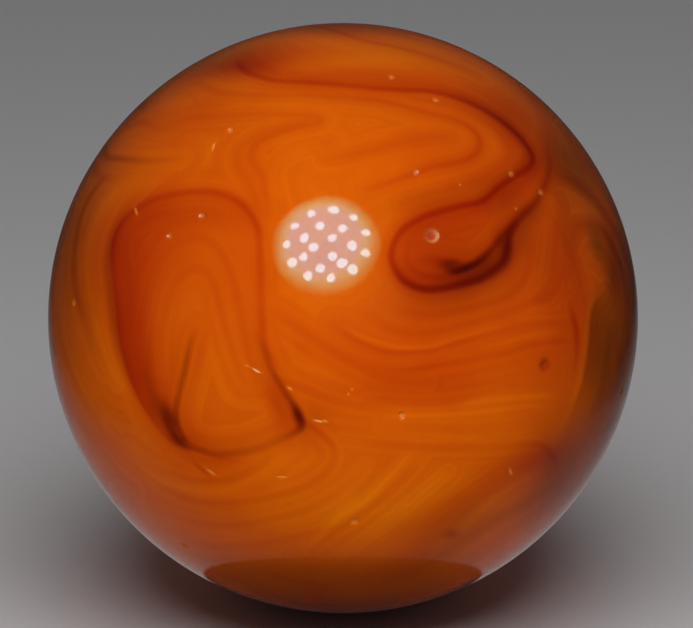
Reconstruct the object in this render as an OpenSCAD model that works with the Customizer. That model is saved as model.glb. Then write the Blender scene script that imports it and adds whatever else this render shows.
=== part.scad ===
// A glass playing marble: one solid ball of glass with the small surface marks
// that a used marble carries. The origin is the centre of the ball and +Z is up.
// The marked face looks along -Y and upwards by face_tilt.

/* [Ball] */
// Diameter of the ball
ball_d = 16; // [12:0.5:25]
// How far the middle of the marked face is raised above level, in degrees
face_tilt = 20; // [0:1:40]

/* [Burst bubble] */
// Width of the mouth of the burst bubble
bubble_w = 0.4; // [0.2:0.05:0.8]
// Depth of the burst bubble below the surface
bubble_depth = 0.1; // [0.04:0.01:0.2]

/* [Pits] */
// Width of the mouth of a pit
pit_w = 0.24; // [0.12:0.02:0.4]
// Depth of a pit below the surface
pit_depth = 0.05; // [0.02:0.01:0.1]

/* [Nicks] */
// Length of a nick along the surface
nick_l = 0.36; // [0.2:0.02:0.6]
// Width of a nick across the surface
nick_w = 0.1; // [0.06:0.01:0.16]
// Depth of a nick below the surface
nick_depth = 0.04; // [0.02:0.01:0.08]

/* [Hidden] */
$fn = 96;
ball_r = ball_d / 2;

// Where each mark lies on the face, as degrees [east, north] of its middle.
bubble_at = [18, 16];
pits_at = [
    [-65, 3], [-56, -50], [-37, 16], [-30, 20], [-29, 39], [3, -43], [12, -19],
    [16, 29], [16, 54], [27, 47], [40, 29], [43, -9], [47, 25], [76, -14],
];
// A nick also has the turn of its length, in degrees from east towards north.
nicks_at = [
    [-80, -39, 60], [-48, 21, -47], [-32, 35, 92], [-31, -31, -39],
    [-17, -10, -28], [-14, -32, 0], [-5, -20, -13], [41, -31, -50],
];

// How far the middle of an arc of the ball stands above its chord.
function sagitta(chord) = ball_r - sqrt(pow(ball_r, 2) - pow(chord / 2, 2));

// The radius of the circle whose arc over this chord has this rise.
function arc_r(chord, rise) = (pow(chord / 2, 2) + pow(rise, 2)) / (2 * rise);

// Puts its children on the surface at one place of the face, with +Z pointing out.
module on_face(place) {
    rotate([-face_tilt, 0, 0])
        rotate([90 - place[1], 0, place[0]])
            translate([0, 0, ball_r])
                children();
}

// A round hollow: the bottom of a small ball that dips below the surface.
module hollow(mouth_w, depth) {
    r = arc_r(mouth_w, depth - sagitta(mouth_w));
    translate([0, 0, r - depth])
        sphere(r);
}

// A nick: the sharp edge of a wheel that dips below the surface, running along X.
module nick(length, width, depth) {
    r = arc_r(length, depth - sagitta(length));
    translate([0, 0, r - depth])
        for (side = [-90, 90])
            rotate([side, 0, 0])
                cylinder(h = width / 2 * r / depth, r1 = r, r2 = 0);
}

module marble() {
    color("darkorange")
        difference() {
            sphere(ball_r);
            on_face(bubble_at)
                hollow(bubble_w, bubble_depth);
            for (place = pits_at)
                on_face(place)
                    hollow(pit_w, pit_depth);
            for (place = nicks_at)
                on_face(place)
                    rotate([0, 0, place[2]])
                        nick(nick_l, nick_w, nick_depth);
        }
}

marble();
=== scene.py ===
"""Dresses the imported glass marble: swirled glass, its small scars and a plain studio."""

import logging
import math
from dataclasses import dataclass
from enum import Enum
from typing import NamedTuple

import bpy
import numpy as np
from mathutils import Matrix, Vector


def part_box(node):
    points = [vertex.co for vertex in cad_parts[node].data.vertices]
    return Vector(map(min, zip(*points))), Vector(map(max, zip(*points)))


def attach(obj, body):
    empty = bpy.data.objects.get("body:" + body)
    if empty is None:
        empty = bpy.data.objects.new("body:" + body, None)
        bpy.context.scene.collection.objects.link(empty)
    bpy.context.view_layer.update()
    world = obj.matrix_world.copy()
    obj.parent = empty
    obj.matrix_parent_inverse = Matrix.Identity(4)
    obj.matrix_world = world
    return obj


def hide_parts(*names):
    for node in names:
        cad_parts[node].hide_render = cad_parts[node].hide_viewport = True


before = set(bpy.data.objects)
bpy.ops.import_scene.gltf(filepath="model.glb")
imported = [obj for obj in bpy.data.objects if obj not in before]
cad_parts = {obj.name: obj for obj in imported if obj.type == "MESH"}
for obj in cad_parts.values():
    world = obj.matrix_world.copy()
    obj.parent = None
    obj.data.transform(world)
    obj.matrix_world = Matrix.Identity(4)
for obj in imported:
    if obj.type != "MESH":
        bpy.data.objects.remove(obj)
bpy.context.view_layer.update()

log = logging.getLogger("glass_marble")

Socket = bpy.types.NodeSocket
Span = tuple[float, float]

MM = 0.001
TINY = 1e-9
FACE_TILT = math.radians(20)


# ---------------------------------------------------------------- places on the ball


def on_face(east: np.ndarray, north: np.ndarray) -> np.ndarray:
    """Turns places on the marked face into directions from the ball's centre.

    Args:
        east: Degrees to the right of the middle of the face.
        north: Degrees above the middle of the face.

    Returns:
        One unit vector for each place, along the last axis.
    """
    east, north = np.radians(east), np.radians(north)
    across = np.sin(east) * np.cos(north)
    up = np.sin(north)
    out = np.cos(east) * np.cos(north)
    cos, sin = math.cos(FACE_TILT), math.sin(FACE_TILT)
    return np.stack([across, up * sin - out * cos, up * cos + out * sin], axis=-1)


def unit(vectors: np.ndarray) -> np.ndarray:
    """Returns the vectors scaled to a length of one."""
    return vectors / np.linalg.norm(vectors, axis=-1, keepdims=True).clip(TINY, None)


def flat_axes(at: tuple[float, float], turn: float) -> tuple[np.ndarray, np.ndarray, np.ndarray]:
    """Finds the axes of something that lies flat on the ball.

    Args:
        at: Its (east, north) place on the face.
        turn: How far it is turned from east towards north, in degrees.

    Returns:
        The direction of its middle, the one along it and the one across it.
    """
    middle = on_face(*at)
    up = on_face(at[0], at[1] + 90)
    right = np.cross(up, middle)
    cos, sin = math.cos(math.radians(turn)), math.sin(math.radians(turn))
    return middle, cos * right + sin * up, cos * up - sin * right


# ---------------------------------------------------------------- dye in the glass


class Dye(Enum):
    """What a trail or cloud adds to the honey glass, as densities of (ember, smoke)."""

    EMBER = (1.0, 0.0)
    SOOT = (0.5, 0.5)
    SMOKE = (0.0, 1.0)
    HONEY = (-1.0, 0.0)


class Fade(NamedTuple):
    """How a trail fades out on one side: the share of its depth, and a reach in degrees."""

    share: float
    reach: float


NO_FADE = Fade(0.0, 1.0)
# A fade is followed for this many reaches, and a core for this many half-widths.
FADES_SEEN = 4
CORES_SEEN = 3
# Streaks keep to the trails up to this many degrees away.
DRIFT_REACH = 20.0
# Which places are near a trail is judged from every fifth sample, and in batches.
SAMPLE_SKIP = 5
BATCH = 8000
# The glass between the trails isn't quite free of dye.
GLASS_EMBER = 0.01


@dataclass(frozen=True)
class Trail:
    """A thin trail of dye drawn out through the glass.

    Its points are (east, north, weight), and its core is the half-width
    in degrees. The left side is the one on the left hand of someone who walks along the
    trail on the outside of the ball.
    """

    points: tuple[tuple[float, float, float], ...]
    dye: Dye
    depth: float
    core: float
    left: Fade = NO_FADE
    right: Fade = NO_FADE

    def samples(self, step: float = 0.4) -> tuple[np.ndarray, np.ndarray]:
        """Runs a smooth curve through the points.

        Args:
            step: Rough distance between samples, in degrees.

        Returns:
            Unit vectors along the curve, and the weight at each.
        """
        given = np.array(self.points, dtype=float)
        knots = np.column_stack([on_face(given[:, 0], given[:, 1]), given[:, 2]])
        before = 2 * knots[0] - knots[1]
        after = 2 * knots[-1] - knots[-2]
        knots = np.vstack([before, knots, after])
        pieces = []
        for a, b, c, d in zip(knots, knots[1:], knots[2:], knots[3:]):
            span = math.degrees(np.linalg.norm(c[:3] - b[:3]))
            t = np.linspace(0, 1, max(2, math.ceil(span / step)), endpoint=False)[:, None]
            ease_in = (c - a) / 2
            ease_out = (d - b) / 2
            pieces.append(
                b + ease_in * t
                + (3 * (c - b) - 2 * ease_in - ease_out) * t**2
                + (2 * (b - c) + ease_in + ease_out) * t**3
            )
        pieces.append(knots[-2:-1])
        curve = np.vstack(pieces)
        return unit(curve[:, :3]), curve[:, 3].clip(0, None)

    def add_to(self, places: np.ndarray, dye: np.ndarray, drift: np.ndarray) -> None:
        """Adds the trail's dye, and brings the drift down to the distance from the trail.

        Args:
            places: Unit vectors, one row each.
            dye: Ember and smoke densities, one row for each place.
            drift: Degrees from the nearest trail, for each place.
        """
        line, weight = self.samples()
        ahead = unit(np.gradient(line, axis=0))
        sideways = np.cross(line, ahead)
        fades = FADES_SEEN * max(self.left.reach, self.right.reach)
        reach = math.radians(max(fades, CORES_SEEN * self.core, DRIFT_REACH))
        near = np.flatnonzero((places @ line[::SAMPLE_SKIP].T).max(axis=1) > math.cos(reach))
        for part in np.array_split(near, len(near) // BATCH + 1):
            here = places[part]
            away = np.degrees(np.arccos((here @ line.T).clip(-1, 1)))
            drift[part] = np.minimum(drift[part], away.min(axis=1))
            core = (weight * np.exp(-((away / self.core) ** 2))).max(axis=1)
            side = np.zeros(len(part))
            for fade, sign in ((self.left, 1), (self.right, -1)):
                if fade.share:
                    haze = weight * np.exp(-away / fade.reach)
                    best = haze.argmax(axis=1)
                    on_side = sign * (here * sideways[best]).sum(axis=1) > 0
                    side += on_side * fade.share * haze[np.arange(len(part)), best]
            dye[part] += np.outer(self.depth * np.maximum(core, side), self.dye.value)


@dataclass(frozen=True)
class Cloud:
    """A soft oval patch, mostly of dye and once of painted shade, size in degrees along its own
    east and north.
    """

    at: tuple[float, float]
    size: tuple[float, float]
    turn: float
    dye: Dye
    depth: float
    edge: float = 2.0

    def density(self, places: np.ndarray) -> np.ndarray:
        """Works out how much dye the cloud adds at each place.

        Args:
            places: Unit vectors, one row each.

        Returns:
            The density at each place.
        """
        middle, along, across = flat_axes(self.at, self.turn)
        out = places @ middle
        reach = np.degrees(np.arccos(out.clip(-1, 1)))
        flat = unit(places - out[:, None] * middle)
        x = reach * (flat @ along) / self.size[0]
        y = reach * (flat @ across) / self.size[1]
        return self.depth * np.exp(-((x**2 + y**2) ** (self.edge / 2)))


def drawn(
    dye: Dye,
    depth: float,
    core: float,
    *points: tuple[float, float, float],
    left: Fade = NO_FADE,
    right: Fade = NO_FADE,
) -> Trail:
    """Draws out a trail of dye through its points."""
    return Trail(points, dye, depth, core, left, right)


# The pocket on the left: its red flanks, its dark lower lip and the slit in it.
POCKET: tuple[Trail, ...] = (
    drawn(
        Dye.EMBER, 1.55, 1.0,
        (-34, -26, 0), (-37, -25, 0.5), (-40, -23.5, 0.5), (-42.5, -20, 0.65), (-45, -15, 0.9),
        (-47, -9.5, 1), (-48.3, -4, 1), (-49, 1.5, 1), (-50.5, 7, 1), (-52.5, 13, 1),
        (-52, 18, 0.7), (-48, 22, 0.3), (-42, 24.5, 0),
        left=Fade(0.6, 2.0), right=Fade(0.95, 6.5),
    ),
    drawn(
        Dye.EMBER, 0.8, 1.0,
        (-54, 13, 0), (-51, 19, 0.7), (-46, 22.3, 0.9), (-40, 24.2, 0.9), (-32, 25, 0.9),
        (-26, 24.3, 0.9), (-21, 22, 0.9), (-17.7, 18, 0.8), (-16.6, 13, 0.6), (-16, 4, 0.5),
        (-15.7, 0, 0.6), (-15.5, -4, 0.6), (-14.5, -7, 0.6), (-13, -10, 0),
        left=Fade(0.6, 1.3), right=Fade(0.6, 3.5),
    ),
    drawn(
        Dye.SOOT, 0.9, 0.85,
        (-16.5, -3, 0), (-15.5, -6, 0.35), (-14, -10, 0.6), (-12, -13.5, 0.9), (-10, -17, 1),
        (-8.4, -20, 1), (-9.4, -22, 1), (-13, -23.8, 0.5), (-18, -25.7, 0.5), (-23, -26.7, 0.7),
        (-28.5, -27, 0.7), (-33, -26, 0.8), (-36.5, -25, 0.8), (-38, -23, 0.4), (-39.5, -20, 0),
        left=Fade(0.3, 2.2), right=Fade(0.5, 2.5),
    ),
    drawn(
        Dye.SOOT, 1.0, 0.7,
        (-29.5, -2, 0), (-31, -5.5, 0.5), (-32.5, -10, 0.8), (-34.5, -14.5, 0.7), (-36, -18, 0.8),
        (-36.3, -21, 0.7), (-35.5, -24, 0.6),
        left=Fade(0.2, 1.0), right=Fade(0.25, 2.0),
    ),
    drawn(
        Dye.EMBER, 0.14, 1.2,
        (-44, -9, 0), (-43, -4, 0.8), (-41.5, 2, 1), (-40, 8, 1), (-37, 13, 1), (-32, 15.5, 1),
        (-27, 14.5, 1), (-23, 10, 1), (-20.5, 3, 0.8), (-19, -5, 0.5), (-17, -12, 0),
        left=Fade(0.5, 1.5), right=Fade(0.8, 3.0),
    ),
    drawn(
        Dye.EMBER, 0.12, 0.9,
        (-38, -10, 0), (-37.5, -4, 1), (-36, 3, 1), (-33, 8, 1), (-29.5, 9.5, 1), (-26, 7, 1),
        (-24, 1, 1), (-22, -6, 0.5), (-20, -12, 0),
        left=Fade(0.4, 1.5), right=Fade(0.4, 1.5),
    ),
    drawn(Dye.EMBER, 0.35, 1.6, (-39, -27, 0), (-33, -28, 1), (-27, -28.5, 1), (-22, -28, 0)),
    drawn(Dye.EMBER, 0.6, 0.5, (-36, -28, 0), (-33.5, -30.3, 1), (-31, -32.5, 0)),
    drawn(
        Dye.EMBER, 0.35, 0.6,
        (-8.5, -20, 0.6), (-5.7, -21.9, 1), (-3.4, -23.9, 1), (-2, -26, 0.8), (-2.3, -29, 0.4),
        (-5, -32, 0),
        right=Fade(0.5, 2.0),
    ),
)

POCKET_CLOUDS: tuple[Cloud, ...] = (
    Cloud((-38.2, -20.5), (1.7, 3.2), 8, Dye.SOOT, 1.1, edge=3.0),
    Cloud((-39.2, -18.5), (2.8, 3.4), 20, Dye.SOOT, 0.65),
    Cloud((-37, -24.2), (2.2, 1.3), -25, Dye.SOOT, 0.9),
    Cloud((-41.5, -13.5), (1.6, 5), 15, Dye.SMOKE, 0.22),
    Cloud((-9.1, -19.2), (0.9, 2.2), 15, Dye.SOOT, 1.8),
    Cloud((-13, -17), (2.4, 5.5), 15, Dye.EMBER, 0.5),
    Cloud((-42, 15), (12, 10), 0, Dye.EMBER, 0.4),
    Cloud((-33, 20), (12, 3.5), 0, Dye.EMBER, 0.3),
    Cloud((-44, -2), (4.5, 13), 5, Dye.EMBER, 0.5),
    Cloud((-29, -6), (4, 6), 0, Dye.EMBER, 0.25),
    Cloud((-28, -14), (6, 9), 0, Dye.HONEY, 0.1),
    Cloud((-8.5, -7), (3.5, 3), 0, Dye.EMBER, 0.2),
    Cloud((-5, -20), (3, 4), 0, Dye.SOOT, 0.2),
    Cloud((-15, -28.5), (8, 4), 0, Dye.HONEY, 0.2),
)

# The long line that comes over the top and hooks back round the burst bubble.
HOOK: tuple[Trail, ...] = (
    drawn(
        Dye.EMBER, 1.3, 1.0,
        (-48, 61, 0), (-42, 58.5, 0.7), (-36, 56.3, 0.9), (-32, 55, 0.9), (-22.6, 53, 0.7),
        (-12, 52.4, 0.7), (0, 51.5, 0.7), (10, 50.5, 0.7), (19, 50, 0.8), (26.5, 49.7, 0.8),
        (32.5, 48.3, 0.9), (38, 46.3, 1), (42.7, 43.6, 1), (46.2, 40.6, 1.1), (48.5, 37.5, 1.2),
        (49.4, 35, 1.2), (49.3, 32.8, 1.2), (47.3, 30.8, 1.1), (44, 29.4, 1.1), (40.5, 28.2, 1.2),
        (35.7, 26, 1.2), (30.3, 23, 1.3), (25.3, 22, 1.2), (20.2, 20.8, 1.1), (16, 19.4, 1),
        (12, 17, 1), (10, 14, 1), (9.6, 11, 1.1), (11.2, 7.8, 1.3), (13.5, 6.2, 1.3),
        (16.6, 5.5, 1.2), (20, 5.8, 1.2), (24, 6.7, 1.2), (27.3, 7.5, 1.2), (29.7, 8.7, 1.3),
        (32.7, 10.8, 1.3), (34, 12.8, 1.2), (34.9, 15.2, 1.2), (36.5, 17.6, 0.9),
        (38.6, 19.3, 0.7), (41.5, 21.2, 0.6), (44.5, 22.9, 0.5), (47.8, 25.4, 0.4),
        (51, 28.3, 0.3), (56, 32, 0),
        left=Fade(0.62, 4.5), right=Fade(0.6, 1.9),
    ),
    drawn(
        Dye.SOOT, 2.1, 0.8,
        (38, 19.2, 0), (36, 17.8, 0.3), (34, 16.2, 0.4), (31.5, 14, 0.5), (29.3, 12.1, 0.7),
        (27.2, 10.7, 0.95), (24.6, 9.6, 1.15), (22.4, 9, 1), (20, 8.9, 0),
        left=Fade(0.5, 1.6), right=Fade(0.1, 1.0),
    ),
    drawn(
        Dye.SOOT, 0.7, 1.2,
        (58, 36, 0), (54, 31, 0.6), (50.5, 27.8, 0.8), (47.8, 25.5, 0.9), (45.2, 23.3, 0.9),
        (42.8, 21.9, 0.9), (41, 20.9, 1), (39, 19.8, 1.1), (37.2, 18.2, 1.4), (35.4, 16, 1.6),
        (34.8, 13.7, 1.5), (34, 11.4, 1.3), (32.3, 9.6, 1.1), (29, 8, 0.9), (25, 6.9, 0.9),
        (20, 5.9, 0.9), (15.5, 5.7, 0.9), (12, 7.4, 0.6), (10, 11, 0),
        left=Fade(0.4, 2.5), right=Fade(0.4, 2.5),
    ),
    drawn(
        Dye.SOOT, 0.6, 2.0,
        (30, 50, 0), (38, 47, 0.5), (43, 43.5, 0.8), (46.5, 40, 1), (48.6, 36.5, 1),
        (48.8, 33.5, 1), (46, 31, 0.8), (41, 29, 0.5), (34, 26, 0),
        left=Fade(0.1, 2.0), right=Fade(0.6, 3.5),
    ),
    drawn(Dye.EMBER, 0.5, 0.9, (24, 10.5, 0), (21, 11, 1), (18, 11.3, 0.8), (15, 11, 0)),
    drawn(
        Dye.EMBER, 0.4, 0.7,
        (23, 8.3, 0), (19, 7.8, 1), (15, 8.5, 0.7), (12.5, 11, 0.5), (13, 14.5, 0),
    ),
    drawn(
        Dye.EMBER, 0.1, 3.0,
        (36, 23, 0), (42, 26.5, 0.8), (48, 29.5, 1), (54, 33, 1), (60, 37, 0.8), (66, 42, 0.4),
        (70, 48, 0),
    ),
)

HOOK_CLOUDS: tuple[Cloud, ...] = (
    Cloud((20, 13.5), (10, 7), 15, Dye.EMBER, 0.5, edge=3.0),
    Cloud((24, 8), (15, 8), 15, Dye.SMOKE, 0.28, edge=3.0),
    Cloud((9, 12), (4, 8), 0, Dye.HONEY, 0.3),
    Cloud((36, 23), (6, 7), 32, Dye.SMOKE, 0.2),
    Cloud((42.5, 20.5), (4, 1.8), 35, Dye.SMOKE, 0.3),
    Cloud((38.8, 16.5), (1.8, 3.5), -25, Dye.SMOKE, 0.25),
    Cloud((52.5, 18), (3.5, 9), -10, Dye.SMOKE, 0.25),
    Cloud((52, 43), (6, 9), 40, Dye.SOOT, 0.5),
    Cloud((33, 22), (9, 3), 32, Dye.EMBER, 0.15, edge=3.0),
    Cloud((29.5, 9.7), (7, 1.9), 30, Dye.SMOKE, 0.5),
    Cloud((21.5, 10.4), (2.2, 0.8), 5, Dye.SMOKE, 0.8),
    Cloud((20.1, 9.8), (2, 0.9), 0, Dye.SOOT, 0.3),
    Cloud((22, 24), (13, 3), 10, Dye.SMOKE, 0.2),
    Cloud((20, 17), (10, 5), 15, Dye.SOOT, 0.2),
    Cloud((33.5, 14.2), (1.6, 2.4), 0, Dye.SOOT, 0.6),
    Cloud((-36, 58), (12, 3.5), -8, Dye.EMBER, 0.7),
    Cloud((-26, 61), (18, 5), 0, Dye.EMBER, 0.45),
    Cloud((-42, 65.5), (10, 4), 0, Dye.EMBER, 0.5),
    Cloud((0, 79), (12, 6), 0, Dye.SMOKE, 0.5),
    Cloud((2, 59), (20, 3.5), 0, Dye.HONEY, 0.4),
    Cloud((38, 62), (24, 7), -25, Dye.SMOKE, 0.09),
    Cloud((-58, 61), (11, 8), 0, Dye.SMOKE, 0.6),
    Cloud((-58, 66), (12, 7), 0, Dye.HONEY, 0.6),
    Cloud((28, 54), (22, 5), -14, Dye.EMBER, 0.3),
    Cloud((3, 65), (28, 8), 0, Dye.HONEY, 0.3),
    Cloud((45.5, 35), (3, 7), 0, Dye.EMBER, 0.35),
    Cloud((60, 33), (7, 5), 35, Dye.SMOKE, 0.35),
    Cloud((20, 35), (15, 7), -10, Dye.EMBER, 0.2),
)

# The nested loops between the top and the middle of the face.
LOOPS: tuple[Trail, ...] = (
    drawn(
        Dye.EMBER, 0.6, 1.2,
        (-26, 79.5, 1), (0, 73.8, 1), (11.6, 69.3, 0.8), (23.7, 66.7, 0.7), (33.7, 63.5, 0.6),
        (40.6, 61, 0.5), (45.3, 58.7, 0.4), (52, 55, 0),
        left=Fade(0.3, 3.0), right=Fade(0.3, 2.0),
    ),
    drawn(
        Dye.EMBER, 0.38, 1.0,
        (-43, 49, 0), (-30, 48.6, 0.4), (-18, 48.3, 0.4), (0, 47.7, 0.5), (9.4, 46.8, 0.7),
        (16, 45.4, 0.8), (22.3, 43.7, 0.8), (27.6, 42.4, 0.8), (31.8, 41, 1), (34.3, 39, 1.1),
        (34.8, 36.6, 1.2), (33.3, 34.2, 1.2), (30, 32.4, 1.1), (25.6, 31.2, 1), (20, 30.3, 0.9),
        (14, 28.3, 0.8), (9, 26.6, 0.6), (4.5, 25.3, 0),
        left=Fade(0.5, 2.0), right=Fade(0.4, 2.0),
    ),
    drawn(
        Dye.EMBER, 0.1, 2.0,
        (20, 47.5, 0), (30, 45.5, 0.6), (36, 43.5, 0.8), (41, 40, 1), (42.5, 36, 1),
        (41, 32.5, 0.9), (36, 29.8, 0.8), (30, 27.5, 0.8), (24, 26, 0.8), (18, 24.5, 0.6),
        (12, 22.5, 0),
    ),
    drawn(
        Dye.EMBER, 0.33, 0.9,
        (-52, 40, 0), (-45, 42, 0.4), (-37, 42.5, 0.5), (-28, 43, 0.5), (-16, 43, 0.5),
        (-7, 42.3, 0.6), (-5.5, 41.2, 0.6), (-8, 40.5, 0.8), (-12, 39.6, 1), (-18, 37.6, 1),
        (-21, 35.7, 1), (-21.5, 32.8, 0.8), (-19.5, 30, 0.7), (-17.9, 28.3, 0.7),
        (-16.4, 24.4, 0.5), (-15.5, 20, 0),
        left=Fade(0.2, 1.5), right=Fade(0.6, 2.5),
    ),
    drawn(
        Dye.EMBER, 0.15, 0.8,
        (-9, 41.5, 0), (-15, 40, 0.7), (-21, 38, 0.6), (-25, 34.5, 0.5), (-24, 30.5, 1),
        (-21.5, 28, 1), (-19, 24.5, 0.6), (-17.5, 21, 0),
        left=Fade(0.3, 1.5),
    ),
    drawn(
        Dye.HONEY, 0.15, 1.0,
        (-3, 36, 0), (-8, 35, 0.8), (-13, 33, 1), (-15.5, 29.5, 1), (-14.5, 25, 0.7),
        (-13, 21, 0),
    ),
    drawn(
        Dye.EMBER, 0.12, 1.5,
        (-4, 32, 0), (4, 33.5, 0.7), (12, 35.5, 0.9), (20, 37, 0.7), (27, 37.5, 0),
    ),
    drawn(
        Dye.EMBER, 0.3, 1.0,
        (-60, 52, 0), (-52, 52, 0.8), (-43, 50, 1), (-36, 49.3, 0.4), (-30, 49, 0),
        right=Fade(0.4, 2.0),
    ),
    drawn(Dye.EMBER, 0.35, 1.1, (-72, 40, 0.5), (-64, 41.3, 1), (-55, 40, 0.6), (-47, 39.2, 0)),
)

# The streaks down the left side.
LEFT_SIDE: tuple[Trail, ...] = (
    drawn(
        Dye.SOOT, 0.65, 0.8,
        (-84, 36, 1), (-72, 33, 1), (-62, 32.4, 1), (-54, 32, 0.7), (-46, 32, 0.3),
        (-40, 32.5, 0),
        right=Fade(0.4, 2.0),
    ),
    drawn(
        Dye.EMBER, 0.35, 1.0,
        (-84, 31, 0.8), (-76, 30, 1), (-68, 28.5, 0.8), (-60, 28, 0.4), (-52, 28.5, 0),
    ),
    drawn(
        Dye.SOOT, 0.5, 1.5,
        (-64, 29, 0), (-68, 26, 1), (-70, 22, 1), (-69.5, 17, 1), (-67.5, 11, 1), (-64.5, 5, 1),
        (-61.5, 1, 0.7), (-58.5, -4, 0.3), (-55, -10, 0),
        left=Fade(0.3, 3.0), right=Fade(0.3, 2.0),
    ),
    drawn(
        Dye.HONEY, 0.15, 1.6,
        (-56, 27, 0), (-60.5, 22, 1), (-62, 17, 1), (-61, 10, 1), (-58, 3, 0.8), (-54.5, -5, 0.6),
        (-51, -12, 0),
    ),
    drawn(
        Dye.SOOT, 0.55, 1.6,
        (-46, 26, 0), (-51, 23, 0.4), (-53.3, 18, 0.7), (-53.6, 12, 0.9), (-52, 6, 1),
        (-50.4, 0, 1), (-49, -7, 0.6), (-46, -13, 0.2), (-42, -19, 0),
    ),
    drawn(
        Dye.EMBER, 0.2, 2.0,
        (-76, 8, 0), (-74, 0, 0.8), (-70, -9, 1), (-64, -18, 1), (-57, -26, 1), (-48, -33, 0.8),
        (-38, -38, 0.6), (-27, -40, 0),
    ),
)

# The fine lines across the middle, which bend round the underside of the hook.
UNDER_HOOK: tuple[Trail, ...] = (
    drawn(
        Dye.EMBER, 0.36, 0.6,
        (-2, -1, 0), (2, -4, 0.7), (7.2, -6.2, 1), (10.3, -6.7, 1), (14, -6.5, 1),
        (17.7, -6.1, 1), (22, -4.8, 1), (25.6, -4, 0.9), (30, -2.8, 0.8), (35, -1.8, 0.8),
        (40, -1.2, 0.8), (45, -1, 0.5), (49, -0.5, 0),
        left=Fade(0.2, 1.5), right=Fade(0.5, 2.5),
    ),
    drawn(
        Dye.HONEY, 0.32, 0.5,
        (0, -1, 0), (3, -3.2, 0.8), (7.2, -4.7, 1), (10.6, -5.5, 1), (14, -5.7, 1),
        (17.7, -5.4, 1), (22, -4, 0.9), (26, -3, 0.7), (31, -1.9, 0.4), (36, -1, 0),
    ),
    drawn(
        Dye.EMBER, 0.4, 0.55,
        (4, -9, 0), (10, -10, 0.5), (15.7, -9.6, 1), (19, -9, 0.9), (23, -8.5, 0.8),
        (27.3, -7.7, 0.8), (32.7, -6.8, 0.9), (36.8, -5.8, 1), (40, -5.1, 1), (45.5, -4.5, 0.8),
        (50, -4.5, 0),
        left=Fade(0.4, 1.5), right=Fade(0.25, 2.0),
    ),
    drawn(
        Dye.HONEY, 0.25, 0.8,
        (26, -6, 0), (32, -4.8, 0.8), (38, -3.5, 1), (44, -2.8, 1), (48, -2.8, 0),
    ),
    drawn(
        Dye.EMBER, 0.2, 1.0,
        (8, 3, 0), (12, 1.2, 0.8), (17, 0.5, 1), (22, 1.3, 1), (27, 2.3, 1), (32, 3.6, 1),
        (36.5, 6, 1), (39, 9.5, 0.9), (40.5, 14, 0.6), (43, 19, 0),
        right=Fade(0.4, 1.5),
    ),
    drawn(
        Dye.EMBER, 0.22, 0.9,
        (5, 0.5, 0), (9, -2, 0.8), (15, -3, 1), (21, -2, 1), (28, -0.3, 1), (35, 1.5, 1),
        (41, 4, 1), (45, 8, 1), (47, 13, 0.9), (49, 18, 0.6), (53, 23, 0),
        left=Fade(0.4, 1.5),
    ),
    drawn(
        Dye.EMBER, 0.35, 1.3,
        (38, 3.2, 0), (42.5, 3.5, 1), (45.5, 5.5, 1), (48, 9, 0.5), (50, 14, 0),
    ),
    drawn(
        Dye.EMBER, 0.3, 0.6,
        (5, -16, 0), (10, -16.2, 0.8), (15, -16.6, 1), (22, -16.2, 1), (26, -15.6, 0.6),
        (32, -14.6, 0),
        left=Fade(0.9, 3.5),
    ),
    drawn(
        Dye.HONEY, 0.25, 0.8,
        (22, -17, 0), (26.3, -16.4, 0.9), (32, -15.8, 1), (38.2, -15.4, 1), (44, -15.1, 1),
        (48, -15, 0),
    ),
    drawn(
        Dye.HONEY, 0.25, 0.6,
        (8, -19.3, 0), (13, -19, 0.8), (22.4, -18.8, 1), (30, -18.2, 0.8), (40, -17.2, 0.6),
        (47, -17.5, 0),
    ),
    drawn(
        Dye.EMBER, 0.16, 0.8,
        (8, -21.5, 0), (16, -21.5, 0.6), (25, -21.8, 1), (33, -21.6, 0.8), (42, -20.8, 0.6),
        (50, -20, 0),
    ),
    drawn(
        Dye.EMBER, 0.33, 0.8,
        (0, -24, 0), (8, -25, 0.7), (15.6, -25.5, 1), (23, -25.7, 0.9), (30.3, -25.7, 0.9),
        (38.3, -25.5, 1), (44, -25, 1.4), (48, -25.4, 1.6), (51.3, -27, 1.6), (55, -29, 1.6),
        (57, -31, 0),
        left=Fade(0.2, 1.5), right=Fade(0.5, 2.0),
    ),
    drawn(
        Dye.EMBER, 0.13, 0.9,
        (-12, -12, 0), (-8, -13.5, 1), (-3, -15.5, 1), (3, -17, 0.8), (9, -17.5, 0),
        left=Fade(0.5, 2.0),
    ),
    drawn(
        Dye.EMBER, 0.16, 1.2,
        (-13, 1, 0), (-9, -1.5, 1), (-4, -5, 0.8), (2, -8.5, 0.8), (9, -11.5, 0.6),
        (17, -12.5, 0),
    ),
)

UNDER_HOOK_CLOUDS: tuple[Cloud, ...] = (
    Cloud((17, -12.8), (13, 3), 3, Dye.EMBER, 0.27),
    Cloud((30, -10), (26, 11), 3, Dye.EMBER, 0.21),
    Cloud((26, -3), (20, 7), 6, Dye.EMBER, 0.3),
    Cloud((22, 2.5), (13, 3.2), 8, Dye.EMBER, 0.12),
    Cloud((39, 12), (4, 9), -25, Dye.EMBER, 0.35),
    Cloud((48, 10), (5, 13), -12, Dye.EMBER, 0.3),
)

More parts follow.
